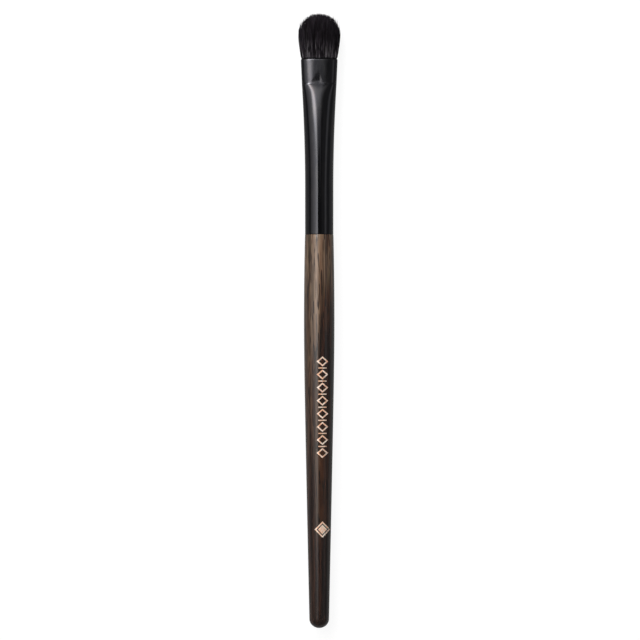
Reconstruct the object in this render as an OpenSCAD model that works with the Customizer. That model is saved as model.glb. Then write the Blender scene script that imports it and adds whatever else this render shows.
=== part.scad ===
// Eyeshadow brush, lying on a table with its wide face up.
// A turned wooden handle is glued by its tenon into a black plated brass ferrule.
// The ferrule is crimped flat at its mouth, where it holds a domed bundle of hair.
// The brush runs along X with its hair at +X; its thickness is along Z.

/* [Handle] */
// Length of the wood that shows, from the rounded tail to the ferrule
handle_len = 105.6; // [85:0.1:130]
// Diameter at the thickest place
belly_dia = 8.2; // [7.8:0.1:11]
// Distance from the ferrule back to the thickest place
belly_back = 23; // [12:0.5:40]
// Diameter where the rounded tail begins
tail_dia = 5.3; // [3.5:0.1:7]
// Length of the rounded tail
tail_round = 2.5; // [1:0.1:5]
// Length of the tenon inside the ferrule
tenon_len = 11.2; // [7:0.1:15]

/* [Ferrule] */
// Length of the whole tube
ferrule_len = 47.1; // [40:0.1:60]
// Outer diameter of its round end
tube_dia = 7.6; // [6:0.1:7.7]
// Thickness of the sheet
tube_wall = 0.35; // [0.25:0.05:0.6]
// Length of the crimped zone at the mouth
flat_len = 6.7; // [5:0.1:10]
// Width of the mouth
mouth_width = 9.9; // [9:0.1:12]
// Thickness of the mouth
mouth_thick = 4.32; // [3.6:0.02:5]
// Width at the crease behind the crimped zone
crease_width = 9.3; // [8:0.1:11]
// Thickness of the crimped zone at the crease
crease_thick = 5.12; // [4.4:0.02:5.6]

/* [Hair] */
// Length of hair outside the mouth
tuft_len = 12.3; // [9:0.1:18]
// Width of the tuft at its widest place
tuft_width = 11.4; // [10:0.1:14]
// Thickness of the tuft at its thickest place
tuft_thick = 5.5; // [4.4:0.1:7]
// Distance from the mouth to the widest place
tuft_widest = 6.2; // [3:0.1:8]
// Distance between neighbouring strands at the mouth
strand_pitch = 0.3; // [0.3:0.01:0.4]
// Thickness of one strand at the mouth, where it stands for a lock of hairs
strand_dia = 0.24; // [0.12:0.01:0.24]

/* [Root] */
// Length of the adhesive plug behind the hair
plug_len = 10; // [7:0.5:13]
// Width of the thread binding round the hair roots
binding_len = 2.4; // [1.5:0.1:3.5]
// Number of turns of thread in the binding
binding_turns = 5; // [3:1:7]
// Thickness of the adhesive film round the tenon
glue_film = 0.08; // [0.04:0.01:0.15]

/* [Hidden] */
// Handle details.
shoulder_proud = 0.03;
shoulder_round = 0.15;
taper_bend_share = 0.2;
tenon_chamfer = 0.6;
groove_count = 2;
groove_width = 0.8;
groove_depth = 0.25;
dome_steps = 5;
taper_steps = 6;
front_steps = 4;

// Ferrule details. The exponents shape the section: 2 is an ellipse, more is flatter.
tenon_room = 0.8;
crease_run = 0.5;
crease_step = 0.19;
lip_round = 0.12;
seat_step = 0.02;
round_exponent = 2;
crease_exponent = 2.1;
flat_exponent = 2.4;
section_sides = 48;
flare_steps = 8;

// Hair details.
root_slice = 0.8;
root_room = 0.4;
strand_margin = 0.06;
strand_jitter_share = 0.08;
edge_slack_share = 0.01;
shoulder_share = 0.9;
dome_power = 2.2;
tip_trim = 0.5;
jitter_seed = 7;

// Root details.
cast_gap = 0.02;
thread_dia = 0.5;
thread_sink_share = 0.35;

// One overrun for every cut.
overrun = 1;

// Derived places along the brush, from the seam between wood and ferrule.
tube_r = tube_dia / 2;
bore_r = tube_r - tube_wall;
tenon_r = bore_r - glue_film;
belly_r = belly_dia / 2;
tail_r = tail_dia / 2;
shoulder_r = tube_r + shoulder_proud;
round_len = tenon_len + tenon_room;
crease_at = ferrule_len - flat_len;
flare_len = crease_at - round_len;
flat_from = crease_at + crease_run;
slice_back = flat_from + root_room;
slice_front = slice_back + root_slice;
plug_back = slice_back - plug_len;
binding_back = slice_back - (plug_len + binding_len) / 2;
overall_len = handle_len + ferrule_len + tuft_len;
seam_x = handle_len - overall_len / 2;

// How far the outermost strands lie from the axis, along the thickness and the width:
// in the mouth, and where the tuft is widest. A three-sided strand's flats lie at half
// its radius.
strand_r = strand_dia / 2;
hair_inset = tube_wall + strand_margin + strand_r;
spread_r = strand_r * tuft_width / (mouth_width - 2 * (tube_wall + strand_margin));
mouth_reach = [mouth_thick / 2 - hair_inset, mouth_width / 2 - hair_inset];
widest_reach = [(tuft_thick - spread_r) / 2, (tuft_width - spread_r) / 2];

// Lays the brush down: local Z runs along it from the seam, local Y is its width.
module lay_down() {
    translate([seam_x, 0, belly_r]) rotate([0, 90, 0]) children();
}

function mix(from, to, share) = from + (to - from) * share;

// Handle and its adhesive, all turned about the brush's axis.

// A taper that starts flat at the belly and runs on nearly straight.
function taper(share) =
    (sqrt(pow(share, 2) + pow(taper_bend_share, 2)) - taper_bend_share)
    / (sqrt(1 + pow(taper_bend_share, 2)) - taper_bend_share);

function tail_dome() = [
    for (i = [0 : dome_steps - 1])
        let (a = 90 * i / dome_steps)
            [tail_r * sin(a), -handle_len + tail_round * (1 - cos(a))]
];

function tail_taper() = [
    for (i = [0 : taper_steps])
        let (share = 1 - i / taper_steps)
            [
                mix(belly_r, tail_r, taper(share)),
                mix(-belly_back, tail_round - handle_len, share)
            ]
];

function front_taper() = [
    for (i = [1 : front_steps])
        let (share = i / front_steps)
            [
                mix(belly_r, shoulder_r, pow(share, 2)),
                mix(-belly_back, -shoulder_round, share)
            ]
];

// The tenon's outline from the shoulder to its tip, with its glue grooves.
function tenon_outline() = concat(
    [[tenon_r, 0]],
    [
        for (i = [1 : groove_count])
            let (mid = tenon_len * i / (groove_count + 1))
                each [
                    [tenon_r, mid - groove_width / 2],
                    [tenon_r - groove_depth, mid],
                    [tenon_r, mid + groove_width / 2]
                ]
    ],
    [[tenon_r, tenon_len - tenon_chamfer]]
);

module handle() {
    color([0.30, 0.22, 0.18])
        rotate_extrude($fn = 96)
            polygon(concat(
                tail_dome(),
                tail_taper(),
                front_taper(),
                [[shoulder_r - shoulder_round, 0]],
                tenon_outline(),
                [[tenon_r - tenon_chamfer, tenon_len], [0, tenon_len]]
            ));
}

module tenon_glue() {
    color([0.86, 0.74, 0.45])
        rotate_extrude($fn = 96)
            polygon(concat(
                tenon_outline(),
                [[bore_r, tenon_len - tenon_chamfer], [bore_r, 0]]
            ));
}

// Ferrule and what is cast inside it, all built from one family of sections.

function half_width(z) =
    z <= round_len ? tube_r :
    z <= crease_at ? mix(tube_r, crease_width / 2, pow((z - round_len) / flare_len, 2)) :
    mix(crease_width / 2, mouth_width / 2, (z - crease_at) / flat_len);

function half_thick(z) =
    z <= round_len ? tube_r :
    z <= crease_at ? mix(tube_r, crease_thick / 2 + crease_step, pow((z - round_len) / flare_len, 2)) :
    z <= flat_from ? crease_thick / 2 + crease_step * (1 - (z - crease_at) / crease_run) :
    mix(crease_thick / 2, mouth_thick / 2, (z - flat_from) / (ferrule_len - flat_from));

function exponent(z) =
    z <= round_len ? round_exponent :
    z <= crease_at ? mix(round_exponent, crease_exponent, (z - round_len) / flare_len) :
    z <= flat_from ? mix(crease_exponent, flat_exponent, (z - crease_at) / crease_run) :
    flat_exponent;

function signed_pow(v, p) = sign(v) * pow(abs(v), p);

// One ring of points round the section at z, moved inwards by inset.
function section(z, inset) = [
    for (i = [0 : section_sides - 1])
        let (a = 360 * i / section_sides, p = 2 / exponent(z))
            [
                (half_thick(z) - inset) * signed_pow(cos(a), p),
                (half_width(z) - inset) * signed_pow(sin(a), p),
                z
            ]
];

// Triangles that join ring r to ring s of a list of rings.
function band(r, s) = [
    for (i = [0 : section_sides - 1])
        let (
            j = (i + 1) % section_sides,
            a = r * section_sides + i,
            b = r * section_sides + j,
            c = s * section_sides + j,
            d = s * section_sides + i
        )
            each [[a, d, c], [a, c, b]]
];

// A solid through a list of [z, inset] stations, closed at both ends.
module filled(stations) {
    last = len(stations) - 1;
    ends = [stations[0][0], stations[last][0]];
    centres = [[0, 0, ends[0]], [0, 0, ends[1]]];
    hub = len(stations) * section_sides;
    polyhedron(
        points = concat([for (s = stations) each section(s[0], s[1])], centres),
        faces = concat(
            [for (r = [0 : last - 1]) each band(r, r + 1)],
            [for (i = [0 : section_sides - 1]) [hub, i, (i + 1) % section_sides]],
            [
                for (i = [0 : section_sides - 1])
                    [
                        hub + 1,
                        last * section_sides + (i + 1) % section_sides,
                        last * section_sides + i
                    ]
            ]
        )
    );
}

// A ring-shaped solid through a loop of [z, inset] stations.
module looped(stations) {
    count = len(stations);
    polyhedron(
        points = [for (s = stations) each section(s[0], s[1])],
        faces = [for (r = [0 : count - 1]) each band(r, (r + 1) % count)]
    );
}

function flare_stations() = [for (i = [0 : flare_steps]) mix(round_len, crease_at, i / flare_steps)];

// The places, back to front, where the flared and crimped tube changes its slope.
function crimp_stations() = concat(flare_stations(), [flat_from, ferrule_len - lip_round]);

// The shaped tube's first ring is drawn in by a seat step, so that it lies wholly on the
// end of the round tube.
module ferrule() {
    places = crimp_stations();
    last = len(places) - 1;
    color([0.10, 0.10, 0.11]) {
        difference() {
            cylinder(h = round_len, r = tube_r, $fn = 96);
            translate([0, 0, -overrun])
                cylinder(h = round_len + 2 * overrun, r = bore_r, $fn = 96);
        }
        looped(concat(
            [[round_len, seat_step]],
            [for (i = [1 : last]) [places[i], 0]],
            [[ferrule_len, lip_round], [ferrule_len, tube_wall]],
            [for (i = [last - 1 : -1 : 1]) [places[i], tube_wall]],
            [[round_len, tube_wall - seat_step]]
        ));
    }
}

// The bore of the tube between two places, less a casting gap.
function cast_stations(from, to) = concat(
    [[from, tube_wall + cast_gap]],
    [for (z = crimp_stations()) if (z > from && z < to) [z, tube_wall + cast_gap]],
    [[to, tube_wall + cast_gap]]
);

module root_plug() {
    thread_floor = tube_wall + thread_dia + 2 * cast_gap;
    binding_end = binding_back + binding_len;
    color([0.80, 0.66, 0.36])
        filled(concat(
            cast_stations(plug_back, binding_back),
            [[binding_back, thread_floor], [binding_end, thread_floor]],
            cast_stations(binding_end, slice_back)
        ));
}

// Thread wound round the hair roots: its turns are ridges side by side.
module root_binding() {
    turn = (binding_len - 2 * cast_gap) / binding_turns;
    back = binding_back + cast_gap;
    crest = tube_wall + cast_gap;
    valley = crest + thread_dia * thread_sink_share;
    inner = crest + thread_dia;
    color([0.90, 0.88, 0.82])
        looped(concat(
            [[back, valley]],
            [
                for (i = [0 : binding_turns - 1])
                    each [
                        [back + turn * (i + 1 / 2), crest],
                        [back + turn * (i + 1), valley]
                    ]
            ],
            [[back + turn * binding_turns, inner], [back, inner]]
        ));
}

// Hair: strands on a staggered grid that fills the mouth, fanned out to the widest place.

// How far out a point lies in the mouth: 0 at the axis and 1 at the edge of the bundle.
function reach(p) = pow(
    pow(abs(p[0]) / mouth_reach[0], flat_exponent) + pow(abs(p[1]) / mouth_reach[1], flat_exponent),
    1 / flat_exponent
);

// Rows and columns are counted so that the outermost strands lie at the bundle's edge.
function strand_places() =
    let (
        rows = ceil(mouth_reach[0] / (strand_pitch * sin(60))),
        columns = ceil(mouth_reach[1] / strand_pitch),
        step = [mouth_reach[0] / rows, mouth_reach[1] / columns]
    )
        [
            for (i = [-rows : rows])
                for (j = [-columns : columns])
                    let (p = [i * step[0], (j + (i % 2 == 0 ? 0 : 1 / 2)) * step[1]])
                        if (reach(p) <= 1 + edge_slack_share) p
        ];

// Height of the dome of tips over a strand's place in the mouth.
function tip_height(p) = mix(
    tuft_widest,
    tuft_len,
    sqrt(max(0, 1 - pow(reach(p), dome_power)))
);

// How far the bundle reaches at height z over the mouth, which is negative inside it.
function bundle_reach(z) =
    z >= 0 ? mix(mouth_reach, widest_reach, min(1, z / tuft_widest)) :
    [half_thick(ferrule_len + z) - hair_inset, half_width(ferrule_len + z) - hair_inset];

// A strand's place at height z over the mouth.
function strand_at(p, z) =
    let (edge = bundle_reach(z))
        [p[0] * edge[0] / mouth_reach[0], p[1] * edge[1] / mouth_reach[1], ferrule_len + z];

// Three corners of radius r round a strand's place at height z over the mouth.
function corners(p, z, r, turn) = [
    for (k = [0 : 2])
        strand_at(p, z) + r * [cos(turn + 120 * k), sin(turn + 120 * k), 0]
];

// One strand as a three-sided solid that tapers to its tip.
module strand(p, turn, trim) {
    root = (slice_back + slice_front) / 2 - ferrule_len;
    tip = tip_height(p) - trim;
    sides = [
        for (r = [0 : 1])
            for (k = [0 : 2])
                let (a = 3 * r + k, b = 3 * r + (k + 1) % 3)
                    each [[a, a + 3, b + 3], [a, b + 3, b]]
    ];
    polyhedron(
        points = concat(
            corners(p, root, strand_r, turn),
            corners(p, 0, strand_r, turn),
            corners(p, tip * shoulder_share, spread_r, turn),
            [strand_at(p, tip)]
        ),
        faces = concat([[0, 1, 2]], sides, [[6, 9, 7], [7, 9, 8], [8, 9, 6]])
    );
}

module bristle_tuft() {
    places = strand_places();
    count = len(places);
    noise = rands(0, 1, 4 * count, jitter_seed);
    color([0.07, 0.06, 0.07]) {
        filled([[slice_back, tube_wall + cast_gap], [slice_front, tube_wall + cast_gap]]);
        for (i = [0 : count - 1]) {
            central = norm(places[i]) == 0;
            jitter = central ? 0 : strand_pitch * strand_jitter_share;
            shift = [noise[4 * i] - 1 / 2, noise[4 * i + 1] - 1 / 2] * jitter;
            trim = central ? 0 : tip_trim * noise[4 * i + 2];
            strand(places[i] + shift, 120 * noise[4 * i + 3], trim);
        }
    }
    echo(strands = count);
}

lay_down() handle();
lay_down() tenon_glue();
lay_down() ferrule();
lay_down() root_plug();
lay_down() root_binding();
lay_down() bristle_tuft();
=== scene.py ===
"""An eyeshadow brush: a lacquered wooden handle, a black plated ferrule, a tuft of dark hair."""
import math
import random

import bpy
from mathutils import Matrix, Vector


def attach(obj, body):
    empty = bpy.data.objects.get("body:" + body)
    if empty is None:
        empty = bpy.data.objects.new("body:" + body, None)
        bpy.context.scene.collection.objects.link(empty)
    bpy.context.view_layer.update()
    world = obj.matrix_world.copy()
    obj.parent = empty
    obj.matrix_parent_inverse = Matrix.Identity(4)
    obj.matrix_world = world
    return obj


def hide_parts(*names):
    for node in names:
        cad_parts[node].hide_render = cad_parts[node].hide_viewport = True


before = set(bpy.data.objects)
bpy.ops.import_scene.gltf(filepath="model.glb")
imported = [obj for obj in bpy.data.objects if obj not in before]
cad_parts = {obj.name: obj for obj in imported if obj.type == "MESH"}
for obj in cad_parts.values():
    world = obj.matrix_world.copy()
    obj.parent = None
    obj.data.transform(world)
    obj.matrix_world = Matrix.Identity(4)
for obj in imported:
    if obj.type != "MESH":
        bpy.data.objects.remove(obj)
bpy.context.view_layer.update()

# Handle: one piece of fine-grained hardwood, turned to a slow swell with a rounded tail. Its front
# end is cut down to a tenon with two glue grooves. It is stained, sealed and dipped in clear
# lacquer, and its tenon is glued into the ferrule.
mm = 0.001
seam = 23.1 * mm
axis_height = 4.1 * mm
handle_len = 105.6 * mm
belly_back = 23 * mm
belly_r, shoulder_r, tail_r = 4.1 * mm, 3.83 * mm, 2.65 * mm
tail_round, tail_rings = 2.5 * mm, 14
taper_rings, swell_rings = 30, 16
shoulder_round, shoulder_rings = 0.15 * mm, 4
tenon_r, tenon_len, tenon_chamfer = 3.37 * mm, 11.2 * mm, 0.6 * mm
groove_width, groove_depth = 0.8 * mm, 0.25 * mm
handle_sides = 128


def mix(start, end, share):
    return start + (end - start) * share


def drawn_out(name, rings, sides, hollow=False):
    """Extrudes a ring along the brush through (place, half width, half thickness) each."""
    x, wide, thick = rings[0]
    bpy.ops.object.select_all(action="DESELECT")
    bpy.ops.mesh.primitive_circle_add(
        vertices=sides, radius=wide, fill_type="NOTHING" if hollow else "TRIFAN",
        location=(x, 0, axis_height), rotation=(0, math.pi / 2, 0),
    )
    piece = bpy.context.object
    piece.name = piece.data.name = name
    bpy.ops.object.mode_set(mode="EDIT")
    bpy.ops.mesh.select_all(action="SELECT")
    bpy.ops.transform.resize(value=(1, 1, thick / wide), center_override=(x, 0, axis_height))
    for place, width, thickness in rings[1:]:
        bpy.ops.mesh.extrude_region_move(TRANSFORM_OT_translate={"value": (place - x, 0, 0)})
        bpy.ops.transform.resize(
            value=(1, width / wide, thickness / thick), center_override=(place, 0, axis_height)
        )
        x, wide, thick = place, width, thickness
    if hollow:
        bpy.ops.mesh.select_all(action="DESELECT")
        bpy.ops.mesh.select_non_manifold()
        bpy.ops.mesh.bridge_edge_loops()
    bpy.ops.mesh.select_all(action="SELECT")
    bpy.ops.mesh.normals_make_consistent(inside=False)
    bpy.ops.object.mode_set(mode="OBJECT")
    bpy.ops.object.transform_apply(location=True, rotation=True, scale=True)
    return piece


def fitted(piece, finish, slot, *nodes, angle=35):
    """Smooths a piece, gives it its finish, and fixes it to the brush in place of its CAD nodes."""
    bpy.ops.object.select_all(action="DESELECT")
    piece.select_set(True)
    bpy.context.view_layer.objects.active = piece
    bpy.ops.object.shade_smooth_by_angle(angle=math.radians(angle))
    piece.data.materials.clear()
    piece.data.materials.append(finish.material)
    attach(piece, "root")
    if nodes:
        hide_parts(*nodes)


class Amount:
    """A number that varies over a surface. Sums with it add the Math nodes."""

    def __init__(self, finish, socket):
        self.finish, self.socket = finish, socket

    def maths(self, operation, first, second):
        return self.finish.node("ShaderNodeMath", {"operation": operation}, {0: first, 1: second})

    def __add__(self, other):
        return self.maths("ADD", self, other)

    def __sub__(self, other):
        return self.maths("SUBTRACT", self, other)

    def __rsub__(self, other):
        return self.maths("SUBTRACT", other, self)

    def __mul__(self, other):
        return self.maths("MULTIPLY", self, other)

    def __truediv__(self, other):
        return self.maths("DIVIDE", self, other)

    def __rtruediv__(self, other):
        return self.maths("DIVIDE", other, self)

    __radd__, __rmul__ = __add__, __mul__

    def lower(self, other):
        return self.maths("MINIMUM", self, other)

    def higher(self, other):
        return self.maths("MAXIMUM", self, other)

    def rise(self, low, high, start=0, end=1):
        """start up to low and end from high on, with a soft change between."""
        return self.finish.node(
            "ShaderNodeMapRange", {"interpolation_type": "SMOOTHSTEP"},
            {"Value": self, "From Min": low, "From Max": high, "To Min": start, "To Max": end},
        )


class Wiring:
    """The nodes of a finish or a light."""

    def __init__(self, tree):
        self.nodes, self.links = tree.nodes, tree.links

    def node(self, kind, settings, sockets, output=0):
        made = self.nodes.new(kind)
        for setting, value in settings.items():
            setattr(made, setting, value)
        for socket, value in sockets.items():
            self.feed(made.inputs[socket], value)
        return Amount(self, made.outputs[output])

    def feed(self, socket, value):
        if isinstance(value, Amount):
            self.links.new(value.socket, socket)
        elif socket.type == "RGBA" and len(value) == 3:
            socket.default_value = (*value, 1)
        else:
            socket.default_value = value

    def parts(self, spot):
        """The three numbers of a place."""
        split = self.node("ShaderNodeSeparateXYZ", {}, {0: spot}).socket.node
        return [Amount(self, socket) for socket in split.outputs]

    def blend(self, share, first, second):
        """From the first colour to the second."""
        return self.node("ShaderNodeMix", {"data_type": "RGBA"}, {0: share, 6: first, 7: second}, 2)


class Finish(Wiring):
    """A material: its shader, with the constants set on it, and the nodes that vary it."""

    def __init__(self, name, constants):
        self.material = bpy.data.materials.new(name)
        self.material.use_nodes = True
        super().__init__(self.material.node_tree)
        self.shader = self.nodes["Principled BSDF"]
        for socket, value in constants.items():
            self.shader.inputs[socket].default_value = value

    def vary(self, **sockets):
        """Feeds the shader's sockets, named with _ for a space."""
        for socket, value in sockets.items():
            self.feed(self.shader.inputs[socket.replace("_", " ")], value)

    def place(self):
        """The place on the brush in millimetres, from the axis under its middle."""
        spot = self.node("ShaderNodeTexCoord", {}, {}, "Object")
        return self.node(
            "ShaderNodeVectorMath", {"operation": "MULTIPLY_ADD"},
            {0: spot, 1: (1 / mm,) * 3, 2: (0, 0, -axis_height / mm)},
        )

    def drawn_noise(self, place, along, across, detail=2, roughness=0.5, shift=(0, 0, 0)):
        """Noise with so many waves a millimetre along the brush and across it."""
        drawn = self.node(
            "ShaderNodeVectorMath", {"operation": "MULTIPLY_ADD"},
            {0: place, 1: (along, across, across), 2: shift},
        )
        return self.node(
            "ShaderNodeTexNoise", {},
            {"Vector": drawn, "Scale": 1, "Detail": detail, "Roughness": roughness},
        )

    def bump(self, height, strength, distance):
        return self.node(
            "ShaderNodeBump", {}, {"Height": height, "Strength": strength, "Distance": distance}
        )


def taper(share):
    """Starts level at the belly and runs on nearly straight."""
    bend = 0.2
    return (math.hypot(share, bend) - bend) / (math.hypot(1, bend) - bend)


tail = seam - handle_len
belly = seam - belly_back
outline = []
for i in range(tail_rings):
    angle = math.radians(90 * (i + 0.3) / tail_rings)
    outline.append((tail + tail_round * (1 - math.cos(angle)), tail_r * math.sin(angle)))
for i in range(taper_rings + 1):
    share = 1 - i / taper_rings
    outline.append((mix(belly, tail + tail_round, share), mix(belly_r, tail_r, taper(share))))
for i in range(1, swell_rings + 1):
    share = i / swell_rings
    outline.append((mix(belly, seam - shoulder_round, share), mix(belly_r, shoulder_r, share ** 2)))
for i in range(1, shoulder_rings + 1):
    angle = math.radians(90 * i / shoulder_rings)
    outline.append((seam - shoulder_round * (1 - math.sin(angle)),
                    shoulder_r - shoulder_round * (1 - math.cos(angle))))
outline.append((seam, tenon_r))
for groove in (seam + tenon_len / 3, seam + tenon_len * 2 / 3):
    outline += [(groove - groove_width / 2, tenon_r), (groove, tenon_r - groove_depth),
                (groove + groove_width / 2, tenon_r)]
outline += [(seam + tenon_len - tenon_chamfer, tenon_r),
            (seam + tenon_len, tenon_r - tenon_chamfer)]
handle = drawn_out("handle_wood", [(x, r, r) for x, r in outline], handle_sides)

wood = Finish("lacquered_wood", {
    "Roughness": 0.6, "Specular IOR Level": 0.1, "Specular Tint": (1, 0.82, 0.70, 1),
    "Coat Weight": 1, "Coat Roughness": 0.2, "Coat IOR": 1.5,
})
spot = wood.place()
along, sideways, _ = wood.parts(spot)
sway, sway_by = wood.drawn_noise(spot, 0.035, 0.25, 1), 1.6
grain_spot = wood.node(
    "ShaderNodeVectorMath", {"operation": "MULTIPLY_ADD"},
    {0: wood.node("ShaderNodeCombineXYZ", {}, {1: sway, 2: sway}),
     1: (0, sway_by, sway_by), 2: spot},
)
broad = wood.drawn_noise(grain_spot, 0.03, 0.5, 2, 0.55, (3, 7, 1))
streak = wood.drawn_noise(grain_spot, 0.045, 1.3, 3, 0.7, (11, 2, 5))
fibre = wood.drawn_noise(grain_spot, 0.07, 2.6, 2, 0.65, (1, 4, 9))
tint = wood.drawn_noise(grain_spot, 0.06, 0.7, 2, 0.5, (5, 15, 2))
pore = wood.drawn_noise(grain_spot, 0.17, 2.3, 1, 0.5, (8, 3, 12)).rise(0.585, 0.64)

# Pale and streaky at the ferrule, browner behind the belly, darkest and red at the tail, with
# black heartwood down one side. The places are in millimetres, and the noise frays their edges.
pale = wood.blend(streak.rise(0.38, 0.62), (0.048, 0.026, 0.015), (0.185, 0.118, 0.074))
pale = wood.blend(tint.rise(0.52, 0.66, 0, 0.6), pale, (0.150, 0.120, 0.062))
pale = wood.blend(tint.rise(0.48, 0.36, 0, 0.6), pale, (0.105, 0.042, 0.019))
brown = wood.blend(streak.rise(0.38, 0.64), (0.026, 0.012, 0.007), (0.102, 0.060, 0.036))
brown = wood.blend(tint.rise(0.54, 0.68, 0, 0.6), brown, (0.078, 0.032, 0.017))
black = wood.blend(streak.rise(0.44, 0.70), (0.006, 0.003, 0.0025), (0.040, 0.014, 0.007))
black = wood.blend(tint.rise(0.54, 0.66, 0, 0.6), black, (0.055, 0.020, 0.010))
ruddy = wood.blend(streak.rise(0.40, 0.66), (0.009, 0.0035, 0.0025), (0.050, 0.021, 0.012))
behind = (along + broad * -22 + streak * -10).rise(-26, 2, 1, 0)
near_tail = (along + broad * -22 + streak * -14).rise(-70, -34, 1, 0)
one_side = (sideways + broad * 5 + streak * 3.4).rise(3.5, 4.5, 1, 0)
heart = one_side * (along + broad * -24 + streak * -12).rise(-18, -10, 1, 0)
bare = wood.blend(heart, wood.blend(behind, pale, brown), black)
bare = wood.blend(near_tail, bare, ruddy)

# One year's growth lines, which wander along the handle and thin out at both ends: each one's
# middle and half width, where it begins and ends, its strength and its colour. The pale ones near
# the ferrule are grain and partly a painted warm highlight on the lacquer.
grain_lines_and_painted_highlight = [
    (1.85, 1.0, (-14, 8), (30, 31), 0.85, (0.255, 0.165, 0.104)),
    (0.35, 0.8, (8, 16), (30, 31), 0.6, (0.190, 0.118, 0.072)),
    (3.4, 0.9, (-14, -6), (8, 14), 0.6, (0.150, 0.098, 0.062)),
    (-0.75, 1.15, (-6, 2), (6, 14), 0.6, (0.072, 0.028, 0.013)),
    (1.5, 0.8, (-62, -48), (-30, -16), 0.7, (0.088, 0.054, 0.034)),
    (0.4, 1.2, (-60, -50), (-36, -20), 0.7, (0.056, 0.021, 0.009)),
    (3.7, 0.5, (8, 14), (30, 31), 0.6, (0.030, 0.018, 0.011)),
    (0.5, 0.45, (-82, -76), (-66, -50), 0.9, (0.002, 0.001, 0.001)),
    (-0.6, 0.6, (-84, -80), (-64, -50), 0.85, (0.003, 0.0015, 0.001)),
]
for middle, half, begins, ends, strength, colour in grain_lines_and_painted_highlight:
    off = (sideways + sway * sway_by + streak * 0.9 - middle) / half
    line = (off * off).rise(0.1, 1, 1, 0) * along.rise(*begins) * along.rise(*ends, 1, 0)
    bare = wood.blend(line * strength, bare, colour)
bare = wood.blend(fibre.rise(0.38, 0.56, 0.5, 0), bare, (0.010, 0.005, 0.004))
bare = wood.blend(pore * 0.85, bare, (0.010, 0.006, 0.004))
wood.vary(Base_Color=bare, Normal=wood.bump(fibre - pore * 0.8, 0.3, 0.05 * mm))
fitted(handle, wood, "lacquered_wood", "handle")

# Foil: copper-coloured foil, stamped hot on the lacquer of the handle's upper side. A plain chain
# of open lozenges and bars lies behind the grip, with one lozenge alone nearer the tail.
foil_thick, foil_stroke = 0.012 * mm, 0.36 * mm
foil_side = -0.87 * mm
chain_front, chain_step, chain_count = -10.9 * mm, -3.5 * mm, 8
tail_mark = -55.9 * mm


def flat_mark(name, place, length, width, turn=0, stroke=None):
    """A flat four-cornered mark over the handle, open inside its stroke if it has one."""
    bpy.ops.object.select_all(action="DESELECT")
    bpy.ops.mesh.primitive_circle_add(
        vertices=4, radius=0.5, fill_type="NGON", location=(place, foil_side, 2 * axis_height + mm),
    )
    mark = bpy.context.object
    mark.name = mark.data.name = name
    bpy.ops.object.mode_set(mode="EDIT")
    bpy.ops.mesh.select_all(action="SELECT")
    bpy.ops.transform.rotate(value=turn, orient_axis="Z", center_override=(place, foil_side, 0))
    bpy.ops.transform.resize(value=(length, width, 1), center_override=(place, foil_side, 0))
    bpy.ops.mesh.inset(thickness=stroke or 0.2 * min(length, width))
    if stroke:
        bpy.ops.mesh.delete(type="FACE")
    bpy.ops.mesh.select_all(action="SELECT")
    bpy.ops.mesh.subdivide(number_cuts=5)
    bpy.ops.object.mode_set(mode="OBJECT")
    return mark


def in_a_row(mark, count):
    """The mark and its copies, each one step further along the chain."""
    row = [mark]
    bpy.ops.object.select_all(action="DESELECT")
    mark.select_set(True)
    bpy.context.view_layer.objects.active = mark
    for _ in range(count - 1):
        bpy.ops.object.duplicate_move(TRANSFORM_OT_translate={"value": (chain_step, 0, 0)})
        row.append(bpy.context.object)
    return row


lozenge = flat_mark("lozenge", chain_front, 2.7 * mm, 3.1 * mm, stroke=foil_stroke)
bar = flat_mark("bar", chain_front + chain_step / 2, 0.42 * mm, 3.1 * mm, turn=math.pi / 4)
marks = in_a_row(lozenge, chain_count) + in_a_row(bar, chain_count - 1)
marks.append(flat_mark("tail_lozenge", tail_mark, 4.4 * mm, 4.2 * mm, stroke=foil_stroke))
marks.append(flat_mark("tail_heart", tail_mark, 2.6 * mm, 2.4 * mm))
bpy.ops.object.select_all(action="DESELECT")
for mark in marks:
    mark.select_set(True)
bpy.context.view_layer.objects.active = lozenge
bpy.ops.object.join()
foil_marks = bpy.context.object
foil_marks.name = foil_marks.data.name = "foil_marks"
wrap = foil_marks.modifiers.new("wrap", "SHRINKWRAP")
wrap.target, wrap.wrap_method, wrap.use_project_z = handle, "PROJECT", True
wrap.use_negative_direction, wrap.use_positive_direction = True, False
bpy.ops.object.modifier_apply(modifier="wrap")
film = foil_marks.modifiers.new("film", "SOLIDIFY")
film.thickness, film.offset = foil_thick, 1
bpy.ops.object.modifier_apply(modifier="film")
bpy.ops.object.transform_apply(location=True, rotation=True, scale=True)

foil = Finish("copper_foil", {"Metallic": 0.3, "Specular IOR Level": 0.6})
spot = foil.place()
grain_and_painted_sheen = foil.drawn_noise(spot, 1.1, 1.3, 3, 0.6)
ripple = foil.drawn_noise(spot, 0.8, 7, 2, 0.6, (4, 1, 8))
# The foil's colour wanders at random from copper to pale peach; the pale peach is partly painted
# highlight.
foil.vary(
    Base_Color=foil.blend(grain_and_painted_sheen.rise(0.36, 0.64), (0.90, 0.49, 0.29), (1.0, 0.86, 0.73)),
    Roughness=ripple.rise(0.3, 0.7, 0.32, 0.5),
    Normal=foil.bump(grain_and_painted_sheen, 0.3, 0.02 * mm),
)
fitted(foil_marks, foil, "copper_foil")

# Tenon adhesive: a film of amber epoxy between the tenon and the tube, which fills the grooves.
# It is hidden inside the ferrule, so its CAD solid stays and gets the resin's look.
resin = Finish("epoxy", {"Transmission Weight": 0.35, "IOR": 1.55})
cloud = resin.drawn_noise(resin.place(), 0.8, 0.8, 3)
resin.vary(
    Base_Color=resin.blend(cloud.rise(0.3, 0.7), (0.62, 0.45, 0.18), (0.80, 0.68, 0.40)),
    Roughness=cloud.rise(0.3, 0.7, 0.12, 0.3),
)


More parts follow.
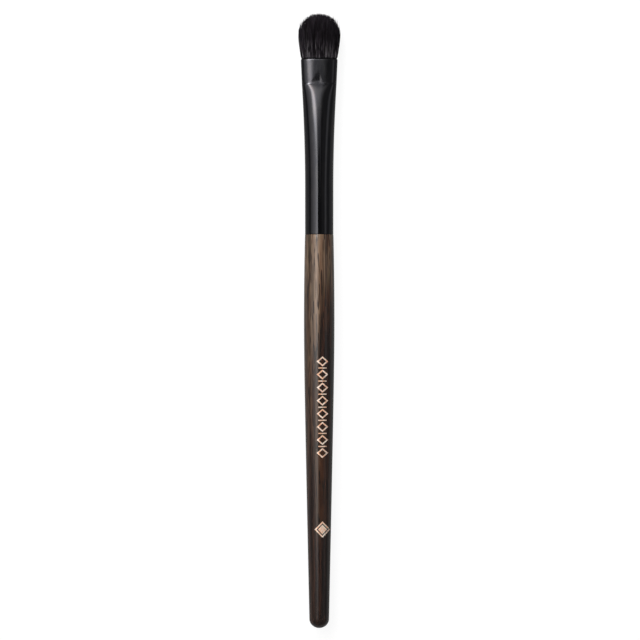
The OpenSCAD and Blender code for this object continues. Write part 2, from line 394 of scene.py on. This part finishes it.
def coated(node, finish):
    """Gives a CAD solid that stays its finish."""
    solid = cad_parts[node]
    solid.data.materials.clear()
    solid.data.materials.append(finish.material)


coated("tenon_glue", resin)

# Ferrule: a seamless drawn tube, taken to be brass, flared and crimped flat at the mouth between
# dies, which leave a crease and a small folded dimple on each wide face. It is polished and black
# nickel plated, and holds the handle's tenon at its round end and the hair in its mouth.
ferrule_len, tube_wall = 47.1 * mm, 0.35 * mm
tube_r = 3.8 * mm
round_len = 12 * mm
crease_at, crease_run = 40.2 * mm, 0.4 * mm
flat_from = crease_at + crease_run
crease_step, crease_sink, crease_sharp = 0.22 * mm, 0.17 * mm, 20
crease_half, crease_half_thick = 4.65 * mm, 2.47 * mm
mouth_half, mouth_half_thick = 4.95 * mm, 2.33 * mm
round_exponent, crease_exponent, mouth_exponent, crease_square = 2, 3.42, 2.8, 1.3
lip_run, lip_drop = 0.27 * mm, 0.058 * mm
dimple_len, dimple_depth, dimple_floor, dimple_fade = 4 * mm, 0.178 * mm, 1.1 * mm, 1.6
dimple_half, dimple_steep = 2.7 * mm, 1.22 * mm
ferrule_sides, flare_rings, crease_rings, flat_rings = 256, 40, 4, 24


def flare(s):
    """How far s lies along the flare: 0 where the tube stops being round, 1 at the crease."""
    return (s - round_len) / (crease_at - round_len)


def half_width(s):
    """Half the tube's outer width at s from the seam."""
    if s <= round_len:
        return tube_r
    if s <= crease_at:
        return mix(tube_r, crease_half, flare(s) ** 2)
    return mix(crease_half, mouth_half, (s - crease_at) / (ferrule_len - crease_at))


def half_thick(s):
    """Half its outer thickness."""
    if s <= round_len:
        return tube_r
    if s <= crease_at:
        sunk = crease_sink * flare(s) ** crease_sharp
        return mix(tube_r, crease_half_thick + crease_step, flare(s) ** 2) - sunk
    if s <= flat_from:
        left = 1 - (s - crease_at) / crease_run
        return crease_half_thick + (crease_step - crease_sink) * left
    return mix(crease_half_thick, mouth_half_thick, (s - flat_from) / (ferrule_len - flat_from))


def exponent(s):
    """How square its section is: 2 is an ellipse."""
    if s <= round_len:
        return round_exponent
    if s <= crease_at:
        early = mix(round_exponent, crease_exponent - crease_square, flare(s))
        return early + crease_square * flare(s) ** crease_sharp
    return mix(crease_exponent, mouth_exponent, min(1, (s - crease_at) / crease_run))


def dimple(s, y):
    """The folded dimple's depth: most a little way in, none at the mouth, steeper on one side."""
    ahead = s - crease_at
    if not 0 < ahead < dimple_len:
        return 0
    run = 1 - ahead / dimple_len
    half = (dimple_half if y > 0 else dimple_steep) * run + 0.01 * mm
    deepest = dimple_depth * run ** dimple_fade * min(1, ahead / dimple_floor)
    return deepest * max(0, 1 - abs(y) / half)


def tubed(name, stations, sides, hollow=True):
    """A piece with the tube's own section, drawn out through (place from the seam, inset) each.

    One that isn't hollow has the same inset all along.
    """
    rings = [(seam + s, half_width(s) - inset, half_thick(s) - inset) for s, inset in stations]
    piece = drawn_out(name, rings, sides, hollow)
    for vertex in piece.data.vertices:
        s, inset = vertex.co.x - seam, stations[0][1]
        if hollow:
            s, inset = stations[vertex.index // sides]
        wide, thick = half_width(s) - inset, half_thick(s) - inset
        y, z = vertex.co.y / wide, (vertex.co.z - axis_height) / thick
        power = 2 / exponent(s)
        y, z = (math.copysign(abs(v) ** power, v) for v in (y, z))
        sunk = dimple(s, y * wide) if abs(z) > 0.5 else 0
        vertex.co.y = wide * y
        vertex.co.z = axis_height + thick * z - math.copysign(sunk, z)
    return piece


# The tube's rings, from its rounded end at the seam to the lip, and back along its inner wall:
# each one's place from the seam, and how far it lies inside the tube's outline.
flat_end = ferrule_len - lip_run - 0.05 * mm
places = [0.08 * mm, 0.2 * mm, 4 * mm, 8 * mm]
places += [mix(round_len, crease_at, i / flare_rings) for i in range(flare_rings)]
places += [crease_at - 0.12 * mm]
places += [crease_at + crease_run * i / crease_rings for i in range(crease_rings + 1)]
places += [mix(flat_from, flat_end, i / flat_rings) for i in range(1, flat_rings + 1)]
outside = [(0, 0.07 * mm), (0.03 * mm, 0.02 * mm)] + [(s, 0) for s in places]
lip = [(lip_run, 0.004 * mm), (0.12 * mm, lip_drop), (0.07 * mm, lip_drop + 0.045 * mm),
       (0.03 * mm, lip_drop + 0.11 * mm), (0, lip_drop + 0.2 * mm), (0, tube_wall - 0.04 * mm)]
lip = [(ferrule_len - back, inset) for back, inset in lip]
inside = [(s, tube_wall) for s, _ in reversed(outside)]
ferrule = tubed("ferrule_tube", outside + lip + inside, ferrule_sides)

plating = Finish("black_nickel", {"Metallic": 1})
spot = plating.place()
wipe = plating.drawn_noise(spot, 0.25, 1.2, 3, 0.6)
scratch = plating.drawn_noise(spot, 1.3, 14, 2, 0.7, (2, 6, 3))
pressed = plating.parts(spot)[0].rise((seam + crease_at) / mm, (seam + flat_from) / mm, 0, 0.08)
plating.vary(
    Base_Color=plating.blend(wipe.rise(0.35, 0.7), (0.043, 0.043, 0.047), (0.052, 0.051, 0.053)),
    Roughness=wipe.rise(0.3, 0.7, 0.08, 0.13) + scratch.rise(0.62, 0.75, 0, 0.08) + pressed,
)
fitted(ferrule, plating, "black_plated_brass", "ferrule", angle=25)

# Root plug and binding: the hair's root ends, tied with cotton thread and potted in epoxy behind
# the mouth. Both are hidden inside the ferrule, so their CAD solids stay.
coated("root_plug", resin)
thread = Finish("binding_thread", {"Roughness": 0.85})
twist = thread.drawn_noise(thread.place(), 6, 1.5, 2)
thread.vary(
    Base_Color=thread.blend(twist.rise(0.3, 0.7), (0.62, 0.58, 0.50), (0.88, 0.86, 0.79)),
    Normal=thread.bump(twist, 0.5, 0.05 * mm),
)
coated("root_binding", thread)

# Tuft: several thousand fine black hairs with tapered tips, cast into a slice of adhesive in the
# mouth. They swell out over the lip and end in a dome, and cling together in small locks.
slice_back, slice_front, slice_gap, slice_sides = 41.3 * mm, 42.1 * mm, 0.02 * mm, 96
hair_r, tip_r, hair_sides = 0.03 * mm, 0.009 * mm, 4
hair_count, hair_pieces = 8600, 3
random.seed(5)

slice_inset = tube_wall + slice_gap
hair_slice = tubed(
    "hair_slice", [(slice_back, slice_inset), (slice_front, slice_inset)], slice_sides, False
)
fitted(hair_slice, resin, "epoxy")

# The tuft's shape, in millimetres and in shares of the hairs: how far the tips scatter, how wide
# apart the locks are, and the heights over the mouth at which a hair bends.
edge_hairs, short_hairs, long_hairs, stray_hairs = 0.12, 0.12, 0.1, 0.03
tip_spread, tip_lift, tip_limit = 0.25, 0.21, 12.28
tuft_half, tuft_half_thick, tuft_exponent = 5, 2.3, 2.4
lock_tries, lock_gap = 4000, 0.3
glint_columns, glint_rows = 80, 7
knots, last_gap = (-5.4, -0.3, 0.5, 2.2, 4.8, 7.6, 9.9), 0.4

# Half its width and thickness at a height over the mouth, and the height of the tips over a
# root's place from the middle, 0, to the edge, 1.
spread = [
    (-6, 4.47, 1.95), (-0.3, 4.52, 1.76), (0.25, 4.80, 1.95), (0.6, 4.95, 2.08), (1.4, 5.09, 2.21),
    (3, 5.31, 2.45), (4.6, 5.52, 2.61), (6.2, 5.64, 2.69), (8, 5.65, 2.71), (13, 5.6, 2.6),
]
dome = [
    (0, 12.25), (0.225, 12.12), (0.348, 11.87), (0.457, 11.6), (0.548, 11.33), (0.614, 11.08),
    (0.686, 10.78), (0.734, 10.52), (0.807, 10.0), (0.8875, 9.3), (0.918, 8.8), (0.98, 7.5),
    (1, 6.2),
]


def read_off(rows, at):
    """The row at a place in a table, straight between its rows."""
    for low, high in zip(rows, rows[1:]):
        if at <= high[0]:
            share = max(0, (at - low[0]) / (high[0] - low[0]))
            return [mix(a, b, share) for a, b in zip(low[1:], high[1:])]
    return list(rows[-1][1:])


def edge_share(u, v):
    """How far out a root is, from 0 in the middle to 1 at the tuft's edge."""
    return (abs(u) ** tuft_exponent + abs(v) ** tuft_exponent) ** (1 / tuft_exponent)


def hair_place(u, v, h):
    """The place of a hair whose root is at u, v, where it is h over the mouth."""
    wide, thick = read_off(spread, h)
    return Vector((seam + ferrule_len + h * mm, u * wide * mm, axis_height + v * thick * mm))


def apart(u, v, lock):
    """How far a root is from the middle of a lock."""
    return math.hypot((u - lock[0]) * tuft_half, (v - lock[1]) * tuft_half_thick)


# Painted glints: one random strength for each of 80 by 7 places over the mouth.
glints = [[random.random() for _ in range(glint_rows)] for _ in range(glint_columns)]
locks = []
for _ in range(lock_tries):
    u, v = random.uniform(-1, 1), random.uniform(-1, 1)
    if edge_share(u, v) <= 1 and all(apart(u, v, lock) > lock_gap for lock in locks):
        lift, lean_y, lean_z = random.gauss(0, 0.12), random.gauss(0, 0.14), random.gauss(0, 0.12)
        locks.append((u, v, lift, lean_y, lean_z, random.random()))

hairs = []
while len(hairs) < hair_count:
    u, v = random.uniform(-1, 1), random.uniform(-1, 1)
    if random.random() < edge_hairs:
        u, v = math.copysign(random.uniform(0.92, 1), u), v * 0.5
    out = edge_share(u, v)
    if out > 1:
        continue
    nearest = min(locks, key=lambda lock: apart(u, v, lock))
    lock_u, lock_v, lift, lean_y, lean_z, lock_tone = nearest
    ragged = 1 + 1.3 * out ** 3
    short = abs(random.gauss(0, tip_spread)) + abs(random.gauss(0, tip_spread))
    tip = read_off(dome, out)[0] + lift - short * ragged + tip_lift
    if random.random() < short_hairs:
        tip -= random.uniform(0.2, 1.6)
    if random.random() < long_hairs:
        tip += random.expovariate(4) * ragged
    tip = min(tip, tip_limit - 0.35 * random.random() ** 2)
    cling = random.uniform(0.12, 0.42)
    bend = Vector((0, random.gauss(0, 0.05 + 0.09 * out ** 6), random.gauss(0, 0.05))) * mm
    if random.random() < stray_hairs:
        bend *= 3
    bend += Vector((0, lean_y * 0.6, lean_z * 0.5)) * mm
    points = []
    for h in [knot for knot in knots if knot < tip - last_gap] + [tip]:
        grip = cling * min(1, max(0, h / 6)) ** 1.2
        point = hair_place(mix(u, lock_u, grip), mix(v, lock_v, grip), h)
        points.append(point + bend * max(0, h / 12) ** 2)
    column, row = int((u + 1) * (glint_columns / 2 - 0.1)), int((v + 1) * (glint_rows / 2 - 0.01))
    hairs.append((points, lock_tone, glints[column][row]))

# Each hair is darker or lighter by its lock. Over that lie painted highlights: pale streaks and
# glints near the mouth, the glints stronger on the +Y side, all fading towards the tips. Painted
# shade darkens patches between the locks and makes the tuft darkest where it comes out of the
# mouth, and the tips get a painted rim light.
black_hair = Finish("black_hair", {"Specular IOR Level": 0.09})
tone, painted_shine = (black_hair.node("ShaderNodeAttribute", {"attribute_name": name}, {}, "Fac")
               for name in ("tone", "painted_shine"))
spot = black_hair.place()
along, sideways, _ = black_hair.parts(spot)
over_mouth = along - (seam + ferrule_len) / mm
lay = black_hair.drawn_noise(spot, 0.3, 2.0, 2)
painted_catch = black_hair.drawn_noise(spot, 0.16, 3.1, 2, 0.65, (4, 9, 2)).rise(0.50, 0.66)
patch = black_hair.drawn_noise(spot, 0.2, 0.9, 1, 0.5, (6, 2, 8)).rise(0.38, 0.55)
painted_gap_shade = black_hair.drawn_noise(spot, 0.28, 1.6, 1, 0.5, (7, 1, 3)).rise(0.53, 0.66, 0, 0.85)
# Painted highlight: pale streaks near the mouth, more on the lighter locks, fading towards the
# tips.
painted_pale_streaks = painted_catch * over_mouth.rise(1, 6.5, 0.75, 0.1) * tone.rise(0, 0.7, 0.3, 1)
# Painted glints: the brightest streaks near the mouth, stronger on the +Y side where the lamps
# stand.
painted_glint_streaks = painted_shine.rise(0.66, 0.80) * patch * over_mouth.rise(1, 6, 0.75, 0.05)
painted_glint_streaks = painted_glint_streaks * sideways.rise(-4, 4, 0.4, 1.5)
mixed = (tone * 0.7 + lay * 0.5).rise(0.35, 0.95)
shade = black_hair.blend(mixed, (0.0050, 0.0040, 0.0051), (0.0235, 0.019, 0.024))
shade = black_hair.blend(painted_pale_streaks, shade, (0.145, 0.135, 0.145))
# Painted shade: near-black patches in the gaps between locks.
shade = black_hair.blend(painted_gap_shade, shade, (0.003, 0.0025, 0.003))
shade = black_hair.blend(painted_glint_streaks, shade, (0.30, 0.28, 0.30))
# Painted rim light: the last few millimetres of the hairs towards the tips are lighter.
shade = black_hair.blend(over_mouth.rise(8, 12, 0, 0.35), shade, (0.050, 0.041, 0.051))
# Painted shade: the hairs are nearly black where they leave the mouth.
shade = black_hair.blend(over_mouth.rise(0.1, 0.5, 0.9, 0), shade, (0.002, 0.002, 0.002))
black_hair.vary(Base_Color=shade, Roughness=tone.rise(0, 1, 0.35, 0.6))

for part in range(hair_pieces):
    chosen = hairs[part::hair_pieces]
    curve = bpy.data.curves.new(f"hair_{part}", "CURVE")
    curve.dimensions = "3D"
    curve.bevel_depth, curve.bevel_resolution = hair_r, 0
    for points, _, _ in chosen:
        spline = curve.splines.new("POLY")
        spline.points.add(len(points) - 1)
        radii = [1] * (len(points) - 2) + [0.75, tip_r / hair_r]
        for knot, point, radius in zip(spline.points, points, radii):
            knot.co, knot.radius = (*point, 1), radius
    tuft = bpy.data.objects.new(f"hair_{part}", curve)
    bpy.context.scene.collection.objects.link(tuft)
    bpy.ops.object.select_all(action="DESELECT")
    tuft.select_set(True)
    bpy.context.view_layer.objects.active = tuft
    bpy.ops.object.convert(target="MESH")
    tuft = bpy.context.object
    bpy.ops.object.mode_set(mode="EDIT")
    bpy.ops.mesh.select_all(action="SELECT")
    bpy.ops.mesh.fill_holes(sides=hair_sides)
    bpy.ops.mesh.select_all(action="SELECT")
    bpy.ops.mesh.normals_make_consistent(inside=False)
    bpy.ops.object.mode_set(mode="OBJECT")
    tones, painted_shines = [], []
    for points, lock_tone, glint in chosen:
        tones += [0.55 * lock_tone + 0.45 * random.random()] * (hair_sides * len(points))
        painted_shines += [0.8 * glint + 0.2 * random.random()] * (hair_sides * len(points))
    if len(tones) != len(tuft.data.vertices):
        raise ValueError(f"{len(tones)} tones for {len(tuft.data.vertices)} points")
    tuft.data.attributes.new("tone", "FLOAT", "POINT").data.foreach_set("value", tones)
    tuft.data.attributes.new("painted_shine", "FLOAT", "POINT").data.foreach_set("value", painted_shines)
    fitted(tuft, black_hair, "hair", *(["bristle_tuft"] if part == 0 else []), angle=60)

# Studio: a white floor that keeps a faint shadow and a white surround for the camera. One large
# softbox hangs over the brush's left side, with its bulb nearer the hair, a small panel hangs
# over the hair, two lamps stand beyond it, and a wide dim strip lights the right side.
floor_seen, floor_mirrored = 0.92, 0.22
cloth_height = 0.6
bpy.ops.object.select_all(action="DESELECT")
bpy.ops.mesh.primitive_plane_add(size=6, location=(0, 0, -0.02 * mm))
floor = bpy.context.object
floor.name = "floor"
paper = Finish("white_paper", {
    "Base Color": (0.12, 0.12, 0.12, 1), "Roughness": 1, "Specular IOR Level": 0,
    "Emission Strength": 1,
})
ray = paper.node("ShaderNodeLightPath", {}, {}, "Is Camera Ray")
glossy = Amount(paper, ray.socket.node.outputs["Is Glossy Ray"])
through = Amount(paper, ray.socket.node.outputs["Is Transmission Ray"])
level = ray * floor_seen + (glossy + through).lower(1) * floor_mirrored
paper.vary(Emission_Color=paper.blend(level, (0, 0, 0), (1, 1, 1)))
floor.data.materials.append(paper.material)

surround = bpy.data.worlds.new("studio")
bpy.context.scene.world = surround
surround.use_nodes = True
sky = Wiring(surround.node_tree)
ray = sky.node("ShaderNodeLightPath", {}, {}, "Is Camera Ray")
height = sky.parts(sky.node("ShaderNodeTexCoord", {}, {}, "Generated"))[2]
dim = sky.blend(height.rise(0.92, 0.99), (0.17, 0.17, 0.175), (0.05, 0.05, 0.052))
sky.feed(sky.nodes["Background"].inputs["Color"], sky.blend(ray, dim, (1, 1, 1)))


def over(tilt, side, distance):
    """A place seen from the brush's middle, so many degrees from upright to +X and to +Y."""
    way = Vector((math.tan(math.radians(tilt)), math.tan(math.radians(side)), 1)).normalized()
    return way * distance


def lamp(name, place, size, level, cloth=None):
    """A rectangular lamp aimed at the brush, as bright as a white sheet times its level.

    A cloth varies it by how far ahead a point lies, in metres at its height, and by its slope to
    the side.
    """
    data = bpy.data.lights.new(name, "AREA")
    data.shape, data.size, data.size_y = "RECTANGLE", *size
    data.energy = math.pi * size[0] * size[1]
    data.use_nodes = True
    glow = Wiring(data.node_tree)
    if cloth:
        x, y, z = glow.parts(glow.node("ShaderNodeNewGeometry", {}, {}, "Position"))
        level, colour = cloth(glow, x * cloth_height / z, y / z, level)
        glow.feed(glow.nodes["Emission"].inputs["Color"], colour)
    glow.feed(glow.nodes["Emission"].inputs["Strength"], level)
    shown = bpy.data.objects.new(name, data)
    bpy.context.scene.collection.objects.link(shown)
    shown.location = place
    shown.rotation_euler = (-place).to_track_quat("-Z", "Y").to_euler()


def softbox(glow, ahead, side, level):
    """Even near the hair, dim towards the tail and its far side, with a bulb behind the cloth."""

    def near(middle, reach, most, lean=0):
        """A soft oval spot on the cloth."""
        aside = side - (ahead - middle[0]) * lean
        here = {0: ahead * (1 / reach[0]), 1: aside * (1 / reach[1])}
        away = glow.node(
            "ShaderNodeVectorMath", {"operation": "DISTANCE"},
            {0: glow.node("ShaderNodeCombineXYZ", {}, here),
             1: (middle[0] / reach[0], middle[1] / reach[1], 0)}, "Value",
        )
        return away.rise(0, 1, most, 0)

    front = ahead.rise(0.14, 0.19)
    edge = mix(side.rise(0.18, 0.23), side.rise(-0.4, 0.4), front)
    edge = mix(edge, side.rise(0.18, 0.6), ahead.rise(0.22, 0.31))
    even = ahead.rise(-0.21, 0.02, 0.04, 1) * (1 / side.higher(mix(0.3, 0.42, front))) * edge
    warm = glow.blend(near((0.215, 0.38), (0.08, 0.33), 1), (1, 1, 1), (1, 0.86, 0.80))
    bulb = near((0.213, 0.45), (0.108, 0.36), 12.5, 1.0) * side.rise(0.13, 0.38)
    return even * level + bulb + near((0.11, -0.12), (0.11, 0.14), 0.33), warm


def strip(glow, ahead, side, level):
    """Brightest along its middle."""
    middle = side.rise(-2.2, -1.25) * side.rise(-1.25, -0.8, 1, 0)
    return middle * ahead.rise(-0.15, -0.03, 0.4, 1) * level, (1, 1, 1)


def from_left(glow, ahead, side, level):
    """Dim on its right side, less so further ahead."""
    near_mouth, further = side.rise(-0.25, 0.4, 0.3, 1), side.rise(-0.55, -0.15, 0.3, 1)
    return mix(near_mouth, further, ahead.rise(0.22, 0.31)) * level, (0.94, 0.95, 1)


def flag(glow, ahead, side, level):
    """Shaded from the right by a card."""
    return side.rise(-0.3, 0.6, 0.08, 1) * level, (1, 1, 1)


lamp("softbox", over(8, 27, 0.65), (0.66, 1.2), 1.1, softbox)
lamp("strip", over(4, -50, 0.7), (0.6, 0.5), 0.45, strip)
lamp("crown", over(24, 6, 0.75), (0.22, 0.4), 0.9, from_left)
lamp("head_fill", over(50, 14, 0.8), (0.8, 0.5), 2.4, flag)
lamp("head_spot", over(48, 21, 0.75), (0.24, 0.2), 18)

camera_above, camera_ahead, camera_aside = 0.9544, 0.17 * mm, -0.21 * mm
camera = bpy.data.objects.new("camera", bpy.data.cameras.new("camera"))
bpy.context.scene.collection.objects.link(camera)
camera.data.lens, camera.data.sensor_width = 200, 36
camera.location = (camera_ahead, camera_aside, axis_height + camera_above)
camera.rotation_euler = (0, 0, -math.pi / 2)
camera.data.clip_start, camera.data.clip_end = 0.05, 20
bpy.context.scene.camera = camera
bpy.context.scene.view_settings.view_transform = "Standard"
